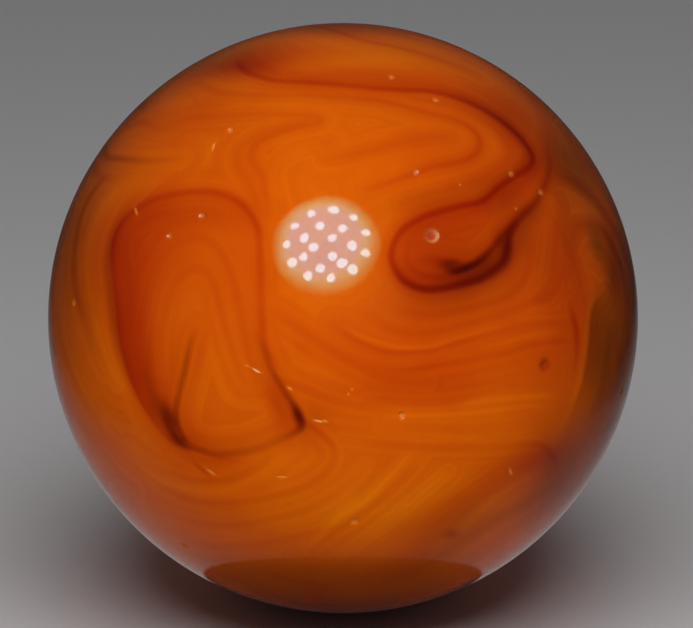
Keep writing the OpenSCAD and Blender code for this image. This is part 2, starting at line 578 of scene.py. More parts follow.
# The dark eddies at the right edge.
RIGHT_SIDE: tuple[Trail, ...] = (
    drawn(
        Dye.EMBER, 0.8, 0.9,
        (49.5, 3, 0), (50.5, 0.5, 0.8), (51.5, -2, 1), (52, -4.5, 0.8), (52.2, -8, 0.4),
        (52, -12, 0),
    ),
    drawn(
        Dye.HONEY, 0.4, 0.7,
        (57.5, 6, 0), (56.5, 3, 0.8), (55.3, 0, 1), (55, -4, 1), (54.7, -8, 1), (54.3, -13, 0.8),
        (53, -19, 0.4), (51, -24, 0),
    ),
    drawn(
        Dye.SMOKE, 0.5, 0.8,
        (63, 5, 0), (59, 3, 0.7), (57, 0.5, 1), (56.6, -4, 1), (56.3, -9, 1), (55.8, -14, 0.7),
        (54, -20, 0),
        left=Fade(0.9, 6.0),
    ),
    drawn(
        Dye.SOOT, 0.6, 1.6,
        (53, 15.5, 0), (56, 17.8, 0.4), (61, 18.5, 0.5), (66, 17.5, 0.8), (69.5, 14.5, 1),
        (72, 10.7, 1), (73.5, 6, 0.7), (74, 0, 0),
        left=Fade(0.2, 3.0), right=Fade(0.2, 2.0),
    ),
    drawn(
        Dye.SOOT, 0.5, 2.0,
        (55, 29, 0), (60, 27.5, 0.8), (66, 24.5, 1), (72, 19, 1), (78, 11, 0.8), (82, 3, 0),
    ),
    drawn(
        Dye.EMBER, 0.2, 1.2,
        (47, 21, 0), (50, 16, 0.8), (52.5, 10, 1), (54, 4, 0.6), (54.5, -2, 0),
    ),
)

RIGHT_CLOUDS: tuple[Cloud, ...] = (
    Cloud((60.5, -4), (5.5, 9), 0, Dye.SMOKE, 0.5, edge=3.0),
    Cloud((61, -5), (5, 11), 0, Dye.HONEY, 0.4),
    Cloud((61.8, 14.5), (3.2, 4.2), 0, Dye.SMOKE, 0.75),
    Cloud((65.5, 8), (3.5, 6), 0, Dye.SMOKE, 0.45),
    Cloud((43.5, 11), (3, 8), -15, Dye.SOOT, 0.3),
    Cloud((49, -31), (12, 4.5), 30, Dye.EMBER, 0.28),
    Cloud((67, -10), (7, 13), -5, Dye.SMOKE, 0.68, edge=3.0),
    Cloud((43, -8.9), (1.4, 1.5), 0, Dye.SOOT, 0.6, edge=4.0),
    Cloud((64, -30), (14, 12), 30, Dye.EMBER, 0.35),
    Cloud((80, -5), (10, 30), 0, Dye.SMOKE, 1.1, edge=3.0),
    Cloud((55, 10), (12, 22), 0, Dye.SMOKE, 0.15, edge=3.0),
    Cloud((68.5, 11), (4, 8), 0, Dye.SOOT, 1.0),
    Cloud((66, 30), (9, 8), 25, Dye.SMOKE, 0.8),
    Cloud((74, 42), (9, 12), 25, Dye.SMOKE, 0.4),
    Cloud((60, -31), (10, 12), 35, Dye.SMOKE, 0.73),
    Cloud((76, -38), (12, 12), 0, Dye.SMOKE, 0.3),
    Cloud((53, 5), (7, 14), -8, Dye.EMBER, 0.45),
    Cloud((60, -2), (4, 10), -5, Dye.EMBER, 0.25),
    Cloud((48, -9), (10, 9), 0, Dye.EMBER, 0.15),
)

# The arcs below the pocket and the streaks to the lower right.
LOWER: tuple[Trail, ...] = (
    drawn(
        Dye.EMBER, 0.4, 3.2,
        (52, -27.5, 0.6), (48, -28.3, 0.9), (44, -29.5, 1), (39, -32, 1), (34.5, -35, 1),
        (30, -38.8, 1), (27, -43, 0.9), (25, -47.5, 0.8), (23, -52, 0.7), (19, -58, 0.4),
        (12, -66, 0),
    ),
    drawn(
        Dye.HONEY, 0.18, 0.9,
        (54, -28.5, 0), (50.4, -31, 1), (45, -33.4, 1), (41, -36.5, 1), (37.4, -40, 0.7),
        (34, -45, 0),
        left=Fade(0.6, 2.5),
    ),
    drawn(
        Dye.SOOT, 0.3, 2.0,
        (58, -35, 0), (53, -38, 0.8), (47, -41.5, 1), (42, -45, 1), (37, -49.5, 1),
        (31, -55, 0.8), (22, -62, 0.5), (8, -70, 0),
        left=Fade(0.3, 3.0),
    ),
    drawn(
        Dye.HONEY, 0.25, 0.9,
        (14.5, -27, 0), (13.8, -28, 0.7), (10.1, -32.5, 1), (5.2, -37.9, 1), (-0.8, -41.5, 1),
        (-5, -45.5, 0.9), (-10, -50, 0.6), (-16, -54, 0),
    ),
    drawn(
        Dye.EMBER, 0.2, 0.8,
        (17.5, -27.5, 0), (15, -31, 0.8), (10, -36.5, 1), (4.6, -41, 1), (-1.5, -45.5, 0.9),
        (-8, -50, 0.6), (-13, -55, 0),
        left=Fade(0.4, 2.0),
    ),
    drawn(
        Dye.HONEY, 0.22, 0.7,
        (-55, -27, 0), (-50, -31, 0.7), (-46.4, -33.4, 1), (-39, -35.2, 1), (-31, -35.4, 1),
        (-26.8, -34.7, 1), (-22.4, -33, 1), (-18.8, -31.2, 0.9), (-15, -28.5, 0.6),
        (-11, -25.5, 0),
    ),
    drawn(
        Dye.EMBER, 0.24, 1.0,
        (-52, -26.5, 0), (-45, -30.5, 0.8), (-37, -32.7, 1), (-29.5, -33, 1), (-23, -31.6, 0.9),
        (-18, -29.5, 0.7), (-13, -26.5, 0),
        left=Fade(0.6, 2.0),
    ),
    drawn(
        Dye.EMBER, 0.22, 0.9,
        (-1.5, -27, 0), (-3, -30.5, 0.8), (-8, -34, 1), (-14, -36, 1), (-22, -37.7, 1),
        (-31, -38.3, 1), (-41, -37.5, 0.8), (-50, -34, 0),
        left=Fade(0.5, 2.0),
    ),
    drawn(
        Dye.EMBER, 0.16, 1.0,
        (5, -29, 0), (2, -33, 0.7), (-4, -37.5, 0.8), (-11, -40.5, 1), (-20, -42.5, 1),
        (-30, -44, 1), (-42, -43.5, 0.8), (-54, -40, 0),
        right=Fade(0.5, 2.0),
    ),
    drawn(
        Dye.EMBER, 0.15, 1.3,
        (0, -44, 0), (-8, -46, 0.8), (-18, -48, 1), (-30, -50, 1), (-44, -50, 0.7), (-58, -46, 0),
    ),
    drawn(
        Dye.HONEY, 0.12, 1.5,
        (24, -31, 0), (20, -35, 0.8), (15, -40, 1), (9, -45.5, 1), (2, -51, 0.8), (-6, -56, 0),
    ),
)

# The soft patches that go with the left side and the lower part, and painted shade low on the ball.
LEFT_CLOUDS: tuple[Cloud, ...] = (
    Cloud((-60, 8), (7, 20), 0, Dye.EMBER, 0.3),
    Cloud((-69, 12), (6, 15), 0, Dye.SMOKE, 0.22),
    Cloud((-71, -13), (9, 11), 0, Dye.HONEY, 0.22),
    Cloud((-70, 15), (12, 22), 0, Dye.SMOKE, 0.3),
    Cloud((-79, 25), (8, 26), 0, Dye.SMOKE, 0.3, edge=3.0),
    Cloud((-45, 44), (12, 7), 10, Dye.EMBER, 0.2),
    Cloud((-72, 48), (8, 9), 0, Dye.SMOKE, 0.25),
    Cloud((-49, -12), (2.2, 7), 10, Dye.HONEY, 0.3),
    Cloud((-58, -16), (9, 10), 30, Dye.HONEY, 0.22),
    Cloud((-58, 1), (4, 9), 10, Dye.SMOKE, 0.15),
)

LOWER_CLOUDS_AND_PAINTED_SHADE: tuple[Cloud, ...] = (
    Cloud((44, -28.5), (8, 2.6), 12, Dye.EMBER, 0.25),
    Cloud((32, -46.5), (1.6, 1.2), 0, Dye.SOOT, 0.5),
    Cloud((34, -45), (10, 8), 30, Dye.SMOKE, 0.3),
    Cloud((18, -37), (9, 5), 45, Dye.HONEY, 0.15),
    Cloud((12, -33), (24, 7), 0, Dye.HONEY, 0.13),
    Cloud((-6, -41), (17, 8), 0, Dye.HONEY, 0.35),
    Cloud((-50, -31), (9, 5), -35, Dye.HONEY, 0.15),
    # Painted shade, not dye: a dark patch with a sharp edge low on the ball, near where it sits.
    Cloud((-1, -68), (25, 14), 0, Dye.SMOKE, 0.65, edge=5.0),
)

# The back, with a spiral on its right and a loop on its left, the top and the underside.
FAR_SIDE: tuple[Trail, ...] = (
    drawn(
        Dye.EMBER, 1.2, 1.1,
        (76, 47, 0), (90, 51, 0.7), (108, 52, 1), (126, 49, 1), (143, 42, 1), (154, 32, 1.1),
        (156, 21, 1.2), (148, 12, 1.3), (134, 7, 1.3), (119, 8, 1.2), (108, 15, 1), (104, 24, 1),
        (109, 32, 0.9), (120, 36, 0.7), (131, 33, 0.4), (137, 26, 0),
        left=Fade(0.6, 4.5), right=Fade(0.5, 2.0),
    ),
    drawn(
        Dye.SOOT, 1.6, 0.9,
        (150, 30, 0), (151, 22, 0.6), (145, 15, 1), (135, 11, 1), (124, 12, 0.8), (115, 18, 0),
        left=Fade(0.4, 1.8),
    ),
    drawn(
        Dye.EMBER, 0.35, 1.2,
        (88, 44, 0), (104, 45, 0.8), (122, 42, 1), (137, 36, 1), (146, 27, 0.9), (146, 20, 0),
        left=Fade(0.4, 3.0),
    ),
    drawn(
        Dye.SOOT, 0.7, 1.3,
        (66, -24, 0), (80, -20, 0.8), (96, -20, 1), (116, -23, 1), (138, -22, 1), (158, -15, 1),
        (176, -7, 1), (195, -4, 1), (214, -8, 1), (232, -15, 0.9), (250, -20, 0.9),
        (268, -19, 0.8), (284, -10, 0),
        left=Fade(0.3, 2.5), right=Fade(0.6, 5.0),
    ),
    drawn(
        Dye.EMBER, 0.3, 1.2,
        (84, -12, 0), (100, -12, 1), (118, -15, 1), (138, -14, 1), (156, -8, 1), (172, 0, 0.9),
        (190, 4, 0.7), (206, 2, 0),
        left=Fade(0.5, 3.0),
    ),
    drawn(
        Dye.HONEY, 0.2, 1.2,
        (90, -4, 0), (108, -5, 1), (126, -7, 1), (145, -3, 1), (162, 5, 0.9), (176, 12, 0),
    ),
    drawn(
        Dye.EMBER, 0.95, 1.0,
        (292, 44, 0), (276, 47, 0.8), (256, 48, 1), (236, 45, 1), (218, 38, 1), (206, 28, 1),
        (203, 17, 1.1), (210, 8, 1.1), (224, 4, 1.1), (239, 7, 1), (250, 14, 0.9), (262, 20, 0.6),
        (276, 24, 0),
        left=Fade(0.7, 5.0), right=Fade(0.4, 2.0),
    ),
    drawn(
        Dye.EMBER, 0.4, 1.1,
        (286, 38, 0), (268, 40, 0.9), (249, 40, 1), (231, 36, 1), (218, 28, 1), (214, 18, 1),
        (222, 12, 0.9), (234, 13, 0.7), (244, 19, 0),
        left=Fade(0.5, 2.0),
    ),
    drawn(
        Dye.HONEY, 0.25, 1.2,
        (276, 33, 0), (258, 34, 1), (241, 31, 1), (229, 25, 0.8), (226, 19, 0),
    ),
    drawn(
        Dye.EMBER, 0.45, 1.6,
        (170, 66, 0), (178, 54, 0.7), (182, 42, 1), (181, 30, 1), (184, 19, 0.8), (192, 12, 0.5),
        (202, 10, 0),
        left=Fade(0.4, 4.0),
    ),
    drawn(
        Dye.EMBER, 0.5, 1.3,
        (70, -45, 0), (92, -42, 0.8), (116, -42, 1), (141, -40, 1), (164, -33, 1), (184, -27, 1),
        (205, -27, 1), (226, -33, 1), (246, -39, 1), (270, -41, 0.8), (294, -38, 0),
        left=Fade(0.5, 4.0), right=Fade(0.4, 2.5),
    ),
    drawn(
        Dye.HONEY, 0.25, 1.5,
        (100, -52, 0), (130, -53, 0.9), (158, -47, 1), (183, -41, 1), (208, -41, 1),
        (234, -48, 1), (262, -52, 0),
    ),
    drawn(
        Dye.SOOT, 0.5, 1.5,
        (40, -66, 0), (90, -64, 0.8), (135, -64, 1), (178, -57, 1), (212, -58, 1),
        (250, -64, 0.9), (300, -64, 0),
        left=Fade(0.5, 5.0),
    ),
    drawn(
        Dye.EMBER, 0.5, 1.4,
        (20, 84, 0), (100, 76, 0.8), (140, 66, 1), (180, 62, 1), (220, 64, 0.9), (262, 72, 0),
        left=Fade(0.4, 4.0),
    ),
)

FAR_CLOUDS: tuple[Cloud, ...] = (
    Cloud((96, 4), (14, 26), 0, Dye.SMOKE, 0.45),
    Cloud((127, 20), (15, 9), 15, Dye.EMBER, 0.5, edge=3.0),
    Cloud((140, 10), (11, 3), -20, Dye.SOOT, 0.6),
    Cloud((168, -22), (24, 6), 15, Dye.EMBER, 0.35),
    Cloud((236, -24), (22, 5), -15, Dye.EMBER, 0.3),
    Cloud((204, 18), (4, 13), 0, Dye.EMBER, 0.4),
    Cloud((178, 34), (11, 16), 0, Dye.EMBER, 0.2),
    Cloud((268, 8), (12, 20), 0, Dye.SMOKE, 0.25),
    Cloud((120, -58), (36, 10), 0, Dye.EMBER, 0.3),
    # Darker at the very bottom of the ball.
    Cloud((0, -85), (22, 22), 0, Dye.SOOT, 0.5),
    Cloud((205, 78), (30, 8), 0, Dye.SMOKE, 0.25),
)

TRAILS: tuple[Trail, ...] = (
    *POCKET, *HOOK, *LOOPS, *LEFT_SIDE, *UNDER_HOOK, *RIGHT_SIDE, *LOWER, *FAR_SIDE,
)
CLOUDS: tuple[Cloud, ...] = (
    *POCKET_CLOUDS, *HOOK_CLOUDS, *LEFT_CLOUDS, *UNDER_HOOK_CLOUDS, *RIGHT_CLOUDS,
    *LOWER_CLOUDS_AND_PAINTED_SHADE, *FAR_CLOUDS,
)


def dye_and_painted_shade_densities(places: np.ndarray) -> tuple[np.ndarray, np.ndarray, np.ndarray]:
    """Adds up every trail and cloud.

    Args:
        places: Unit vectors, one row each.

    Returns:
        The ember density, the density of smoke and of the painted shade at the base, and the
        degrees to the nearest trail.
    """
    dye = np.tile((GLASS_EMBER, 0.0), (len(places), 1))
    drift = np.full(len(places), DRIFT_REACH)
    for trail in TRAILS:
        trail.add_to(places, dye, drift)
    for cloud in CLOUDS:
        dye += np.outer(cloud.density(places), cloud.dye.value)
    return dye[:, 0], dye[:, 1], drift


# ---------------------------------------------------------------- nodes


class Nodes:
    """A short way to build one material's or world's node tree."""

    def __init__(self, tree: bpy.types.NodeTree) -> None:
        """Empties the tree and keeps it."""
        self.tree = tree
        tree.nodes.clear()

    def add(self, kind: str, inputs: dict | None = None, **settings) -> bpy.types.Node:
        """Adds a node.

        Args:
            kind: The node's type, such as ShaderNodeMath.
            inputs: Socket name or number to a value, or to the output that feeds it.
            **settings: The node's own settings, such as operation.

        Returns:
            The new node.
        """
        node = self.tree.nodes.new(kind)
        for name, value in settings.items():
            setattr(node, name, value)
        for key, value in (inputs or {}).items():
            if isinstance(value, Socket):
                self.tree.links.new(value, node.inputs[key])
            else:
                node.inputs[key].default_value = value
        return node

    def attribute(self, name: str) -> Socket:
        """Reads a number that is kept at each vertex."""
        return self.add("ShaderNodeAttribute", attribute_name=name).outputs["Fac"]

    def maths(self, operation: str, *terms) -> Socket:
        """Adds a Math node and returns its output."""
        node = self.add("ShaderNodeMath", dict(enumerate(terms)), operation=operation)
        return node.outputs[0]

    def chain(self, operation: str, first: Socket, *more) -> Socket:
        """Joins terms by one operation.

        Args:
            operation: The Math node's operation, such as MULTIPLY.
            first: The first term.
            *more: The other terms.

        Returns:
            The outcome, such as the product of them all.
        """
        for term in more:
            first = self.maths(operation, first, term)
        return first

    def slope(self, value: Socket, span: Span, levels: Span) -> Socket:
        """Eases from one level to another while a value runs through a span.

        Args:
            value: The value to follow.
            span: Where the slope starts and where it ends.
            levels: The level before the span and the level after it.

        Returns:
            The level.
        """
        node = self.add(
            "ShaderNodeMapRange",
            {
                "Value": value,
                "From Min": span[0], "From Max": span[1],
                "To Min": levels[0], "To Max": levels[1],
            },
            interpolation_type="SMOOTHSTEP",
        )
        return node.outputs[0]

    def noise(self, inputs: dict, depth: float, **settings) -> Socket:
        """Adds a noise that swings from -depth to depth."""
        noise = self.add("ShaderNodeTexNoise", inputs, **settings)
        return self.maths("MULTIPLY_ADD", noise.outputs["Fac"], 2 * depth, -depth)


# ---------------------------------------------------------------- studio


def view_axes() -> tuple[Vector, Vector, Vector]:
    """Returns the camera's right, up and backward directions."""
    cos, sin = math.cos(FACE_TILT), math.sin(FACE_TILT)
    return Vector((1, 0, 0)), Vector((0, sin, cos)), Vector((0, -cos, sin))


def toward(right: float, up: float, back: float) -> Vector:
    """Returns the unit vector that is made of these parts of the camera's directions."""
    x, y, z = view_axes()
    return (right * x + up * y + back * z).normalized()


class Lit(Enum):
    """What a lamp is for: lighting surfaces, or showing as a highlight on them."""

    SURFACES = "surfaces"
    HIGHLIGHTS = "highlights"


@dataclass(frozen=True)
class Lamp:
    """A round lamp. Its glow is how bright its face looks, where 1 is white."""

    name: str
    at: Vector
    facing: Vector
    r: float
    glow: float
    use: Lit = Lit.SURFACES
    tint: tuple[float, float, float] = (1.0, 1.0, 1.0)

    def hang(self, only_for: bpy.types.Object | None = None) -> None:
        """Adds the lamp to the scene.

        Args:
            only_for: The one object that it lights, or None where it lights them all.
        """
        light = bpy.data.lights.new(self.name, "AREA")
        light.shape = "DISK"
        light.size = 2 * self.r
        light.energy = self.glow * math.pi * math.pi * self.r**2
        light.color = self.tint
        lamp = bpy.data.objects.new(self.name, light)
        bpy.context.collection.objects.link(lamp)
        lamp.location = self.at
        lamp.rotation_euler = (-self.facing).to_track_quat("Z", "Y").to_euler()
        lamp.visible_camera = False
        lamp.visible_diffuse = self.use is Lit.SURFACES
        lamp.visible_glossy = self.use is Lit.HIGHLIGHTS
        if only_for is not None:
            lit = bpy.data.collections.new(f"{self.name}_lit")
            lit.objects.link(only_for)
            lamp.light_linking.receiver_collection = lit


@dataclass(frozen=True)
class Floor:
    """A plain pale floor under the ball, with a light of its own.

    The ball's gloss alone sees it, as a painted reflection: a pale glowing lane that runs away
    under the ball, with a dark round disc of painted shade in it. Spans are in metres.
    """

    width: float = 6.0
    paper: tuple[float, float, float, float] = (0.62, 0.61, 0.62, 1.0)
    paper_roughness: float = 0.9
    painted_glow_side: Span = (5 * MM, 23 * MM)
    painted_glow_levels: Span = (0.28, 0.01)
    painted_glow_front: Span = (-11 * MM, 1 * MM)
    painted_glow_end: Span = (12 * MM, 44 * MM)
    painted_shade_back: float = -2.35 * MM
    painted_shade_edge: Span = (4.35 * MM, 4.6 * MM)
    lowest_level: float = 0.02
    light_from_ball: tuple[float, float, float] = (0.0, -52 * MM, 80 * MM)
    light_r: float = 50 * MM
    light_glow: float = 3.2

    def lay(self, ball_middle: Vector, ball_r: float) -> None:
        """Lays the floor and hangs its light.

        Args:
            ball_middle: The ball's centre.
            ball_r: The ball's radius.
        """
        low = ball_middle.z - ball_r
        bpy.ops.object.select_all(action="DESELECT")
        bpy.ops.mesh.primitive_plane_add(size=self.width, location=(0, 0, low))
        floor = bpy.context.object
        floor.name = "floor"
        floor.data.materials.append(self.material())
        over = ball_middle + Vector(self.light_from_ball)
        Lamp("room_light", over, Vector((0, 0, -1)), self.light_r, self.light_glow).hang(floor)

    def material(self) -> bpy.types.Material:
        """Makes the floor paper for every ray but those of the gloss, which see a painted
        reflection.
        """
        material = bpy.data.materials.new("floor_paper_and_painted_reflection")
        material.use_nodes = True
        nodes = Nodes(material.node_tree)
        path = nodes.add("ShaderNodeLightPath")
        paper = nodes.add(
            "ShaderNodeBsdfPrincipled",
            {
                "Base Color": self.paper,
                "Roughness": self.paper_roughness,
                "Specular IOR Level": 0.0,
            },
        )
        # For gloss rays the floor glows instead of being lit: a painted reflection.
        painted_reflection = nodes.add("ShaderNodeEmission", {"Strength": self.painted_reflection_level(nodes)})
        shader = nodes.add(
            "ShaderNodeMixShader",
            {0: path.outputs["Is Glossy Ray"], 1: paper.outputs[0], 2: painted_reflection.outputs[0]},
        )
        nodes.add("ShaderNodeOutputMaterial", {"Surface": shader.outputs[0]})
        return material

    def painted_reflection_level(self, nodes: Nodes) -> Socket:
        """Draws the painted reflection that the gloss sees: a glowing lane and a dark disc of
        painted shade.

        Args:
            nodes: The floor's nodes.

        Returns:
            How brightly each place on the floor glows in the painted reflection.
        """
        place = nodes.add("ShaderNodeTexCoord").outputs["Object"]
        axes = nodes.add("ShaderNodeSeparateXYZ", {0: place}).outputs
        from_painted_shade = nodes.add(
            "ShaderNodeVectorMath", {0: place, 1: (0, self.painted_shade_back, 0)}, operation="DISTANCE"
        ).outputs["Value"]
        # A pale glowing lane, with a dark round disc of painted shade where the ball sits.
        lane = nodes.chain(
            "MULTIPLY",
            nodes.slope(nodes.maths("ABSOLUTE", axes["X"]), self.painted_glow_side, self.painted_glow_levels),
            nodes.slope(axes["Y"], self.painted_glow_front, (0.0, 1.0)),
            nodes.slope(from_painted_shade, self.painted_glow_end, (1.0, 0.0)),
            nodes.slope(from_painted_shade, self.painted_shade_edge, (0.0, 1.0)),
        )
        return nodes.maths("MAXIMUM", lane, self.lowest_level)


class BulbRing(NamedTuple):
    """A ring of bulbs. Its size and drop are shares of the torch's radius."""

    bulbs: int
    size: float
    drop: float
    turn: float


@dataclass(frozen=True)
class Torch:
    """A hand torch above the camera: rings of bulbs in a pale reflector.

    The reflector is a stack of lamps whose light adds up. Each is wider and less blue
    than the one before, which makes the highlight's edge soft and warm. Sizes and
    shifts are shares of the torch's radius, and a shift is (right, up).
    """

    ball: bpy.types.Object
    ball_middle: Vector
    from_ball: tuple[float, float, float] = (-0.105, 0.485, 0.868)
    away: float = 90 * MM
    r: float = 23.4 * MM
    rings: tuple[BulbRing, ...] = (
        BulbRing(3, 0.3, 0.19, 60), BulbRing(7, 0.62, 0.16, 0), BulbRing(11, 1.0, 0.04, 15),
    )
    height: float = 0.93
    bulb_r: float = 2.7 * MM
    bulb_glow: float = 15.0
    bulb_tint: tuple[float, float, float] = (0.4, 0.85, 1.0)
    stack: int = 12
    stack_start: float = 1.0 * MM
    stack_step: float = 0.5 * MM
    stack_sizes: Span = (0.88, 1.48)
    stack_green: float = 0.8
    stack_blue: Span = (1.2, 0.2)
    stack_glow: float = 1.0
    stack_shift: tuple[float, float] = (-0.06, 0.0837)
    middle_behind: float = 8 * MM
    middle_size: float = 0.45
    middle_glow: float = 4.0
    middle_tint: tuple[float, float, float] = (0.0, 0.5, 1.0)
    light_glow: float = 8.55

    def hold(self) -> None:
        """Hangs the bulbs, the reflector and the lamp that lights the ball."""
        right, _, back = view_axes()
        aim = toward(*self.from_ball)
        middle = self.ball_middle + self.away * aim
        face = (aim + back).normalized()
        over = face.cross(right).normalized()
        for ring in self.rings:
            for k in range(ring.bulbs):
                angle = math.tau * k / ring.bulbs + math.radians(ring.turn)
                across = ring.size * math.cos(angle)
                rise = self.height * (ring.size * math.sin(angle) - ring.drop)
                place = middle + self.r * (across * right + rise * over)
                Lamp(
                    "bulb", place, -face, self.bulb_r, self.bulb_glow,
                    Lit.HIGHLIGHTS, self.bulb_tint,
                ).hang()
        shift_right, shift_up = self.stack_shift
        cup = middle + self.r * (shift_right * right + shift_up * over)
        for k in range(self.stack):
            size, blue = (
                first + (last - first) * k / (self.stack - 1)
                for first, last in (self.stack_sizes, self.stack_blue)
            )
            place = cup + (self.stack_start + k * self.stack_step) * face
            Lamp(
                "reflector", place, -face, size * self.r, self.stack_glow,
                Lit.HIGHLIGHTS, (0.0, self.stack_green, blue),
            ).hang()
        Lamp(
            "reflector_middle", cup + self.middle_behind * face, -face,
            self.middle_size * self.r, self.middle_glow, Lit.HIGHLIGHTS, self.middle_tint,
        ).hang()
        Lamp("torch_light", middle, -face, self.r, self.light_glow).hang(self.ball)


@dataclass(frozen=True)
class Studio:
    """The floor, the even light of the room, the lamps and the camera.

    The aim is where the middle of the picture lies on the ball, in shares of its radius.
    """

    ball: bpy.types.Object
    ball_middle: Vector
    ball_r: float
    room_level: float = 0.08
    room_level_seen: float = 0.04
    soft_from_ball: tuple[float, float, float] = (0.15, 0.3, 1.0)
    soft_away: float = 0.45
    soft_r: float = 0.2
    soft_glow: float = 1.5
    camera_away: float = 0.5
    sensor_w: float = 36.0
    nearest_seen: float = 0.01
    ball_share_of_width: float = 0.4257
    aim_right: float = 0.0119
    aim_up: float = 0.0136

    def build(self) -> None:
        """Makes everything that isn't the marble."""
        Floor().lay(self.ball_middle, self.ball_r)
        self.add_room()
        Torch(self.ball, self.ball_middle).hold()
        self.add_soft_light()
        self.add_camera()

    def add_room(self) -> None:
        """Fills the room with even light, in front of a darker backdrop."""
        world = bpy.data.worlds.new("room")
        bpy.context.scene.world = world
        world.use_nodes = True
        nodes = Nodes(world.node_tree)
        path = nodes.add("ShaderNodeLightPath").outputs
        seen = nodes.chain(
            "MAXIMUM",
            path["Is Camera Ray"], path["Is Glossy Ray"], path["Is Transmission Ray"],
        )
        level = nodes.add(
            "ShaderNodeMapRange",
            {"Value": seen, "To Min": self.room_level, "To Max": self.room_level_seen},
        )
        glow = nodes.add("ShaderNodeBackground", {"Strength": level.outputs[0]})
        nodes.add("ShaderNodeOutputWorld", {"Surface": glow.outputs[0]})

    def add_soft_light(self) -> None:
        """Adds a wide soft lamp that leaves no highlight."""
        aim = toward(*self.soft_from_ball)
        place = self.ball_middle + self.soft_away * aim
        Lamp("soft_light", place, -aim, self.soft_r, self.soft_glow).hang(self.ball)

    def add_camera(self) -> None:
        """Aims a long lens at the marked face."""
        right, up, back = view_axes()
        target = self.ball_middle + self.ball_r * (self.aim_right * right + self.aim_up * up)
        lens = bpy.data.cameras.new("camera")
        outline = math.tan(math.asin(self.ball_r / self.camera_away))
        lens.sensor_width = self.sensor_w
        lens.lens = self.sensor_w * self.ball_share_of_width / outline
        lens.clip_start = self.nearest_seen
        camera = bpy.data.objects.new("camera", lens)
        bpy.context.collection.objects.link(camera)
        camera.matrix_world = Matrix.Translation(target + self.camera_away * back) @ Matrix(
            (right, up, back)
        ).transposed().to_4x4()
        bpy.context.scene.camera = camera


# ---------------------------------------------------------------- marks in the surface


class MarkKind(Enum):
    """The kinds of scar in the surface."""

    HOLLOW = "hollow"
    BUBBLE = "bubble"
    NICK = "nick"


PIT_W = 0.24 * MM
PIT_DEPTH = 0.05 * MM
NICK_LENGTH = 0.36 * MM
NICK_DEPTH = 0.04 * MM
CRUSHED_FALL = 2.0
RIM_AT = 0.8
RIM_W = 0.22
RIM_FAINTEST = 0.3


@dataclass(frozen=True)
class Mark:
    """A small scar, at (east, north) degrees on the face, with sizes in metres.

    A hollow or a bubble is a round dimple of width `length`. A nick is a groove with a V
    section, and its turn goes from east towards north, in degrees. Rough and pale are
    shares of the look of crushed glass, and a bubble's pale rim is partly a painted
    highlight. A mark without depth is a scuff.
    """

    kind: MarkKind
    at: tuple[float, float]
    length: float
    depth: float
    width: float = 0.1 * MM
    turn: float = 0.0
    rough: float = 0.5
    pale: float = 0.35

    def across(self, places: np.ndarray, r: float) -> tuple[np.ndarray, np.ndarray]:
        """Measures places from the mark, in metres along and across its length.

        Args:
            places: Unit vectors, one row each.
            r: The ball's radius.

        Returns:
            The distance along the mark and the distance across it.
        """
        middle, along, aside = flat_axes(self.at, self.turn)
        near = (places @ middle) > 0
        return np.where(near, r * (places @ along), r), np.where(near, r * (places @ aside), r)

    def dent(self, places: np.ndarray, r: float) -> np.ndarray:
        """Works out how deep the mark lies below the ball at each place."""
        x, y = self.across(places, r)
        rest = 1 - (2 * x / self.length) ** 2
        if self.kind is MarkKind.NICK:
            return (self.depth * (rest - 2 * np.abs(y) / self.width)).clip(0, None)
        return self.depth * (rest - (2 * y / self.length) ** 2).clip(0, None)

    def crushed_and_rim_highlight(self, places: np.ndarray, r: float) -> tuple[np.ndarray, np.ndarray]:
        """Works out how crushed the glass is at each place, and the painted highlight on a bubble's
        rim.

        Args:
            places: Unit vectors, one row each.
            r: The ball's radius.

        Returns:
            How rough the glass is, and how pale. A burst bubble is pale round its rim,
            partly as crushed glass and partly as a painted highlight, which is strongest
            at its lower right, where the rim catches the light.
        """
        x, y = self.across(places, r)
        wide = self.width if self.kind is MarkKind.NICK else self.length
        out = np.hypot(2 * x / self.length, 2 * y / wide)
        rough = self.rough * np.exp(-CRUSHED_FALL * out**4)
        if self.kind is not MarkKind.BUBBLE:
            return rough, self.pale * np.exp(-CRUSHED_FALL * out**2)
        # Painted highlight: the rim is paler at its lower right, where it catches the light.
        lit_lower_right = 0.5 + 0.5 * (x - y) / np.hypot(x, y).clip(TINY, None) / math.sqrt(2)
        rim = np.exp(-(((out - RIM_AT) / RIM_W) ** 2))
        return rough, self.pale * rim * (RIM_FAINTEST + (1 - RIM_FAINTEST) * lit_lower_right)


def pits(places: tuple[tuple[float, float], ...], **looks: float) -> tuple[Mark, ...]:
    """Makes a small round pit at each place."""
    return tuple(Mark(MarkKind.HOLLOW, at, PIT_W, PIT_DEPTH, **looks) for at in places)


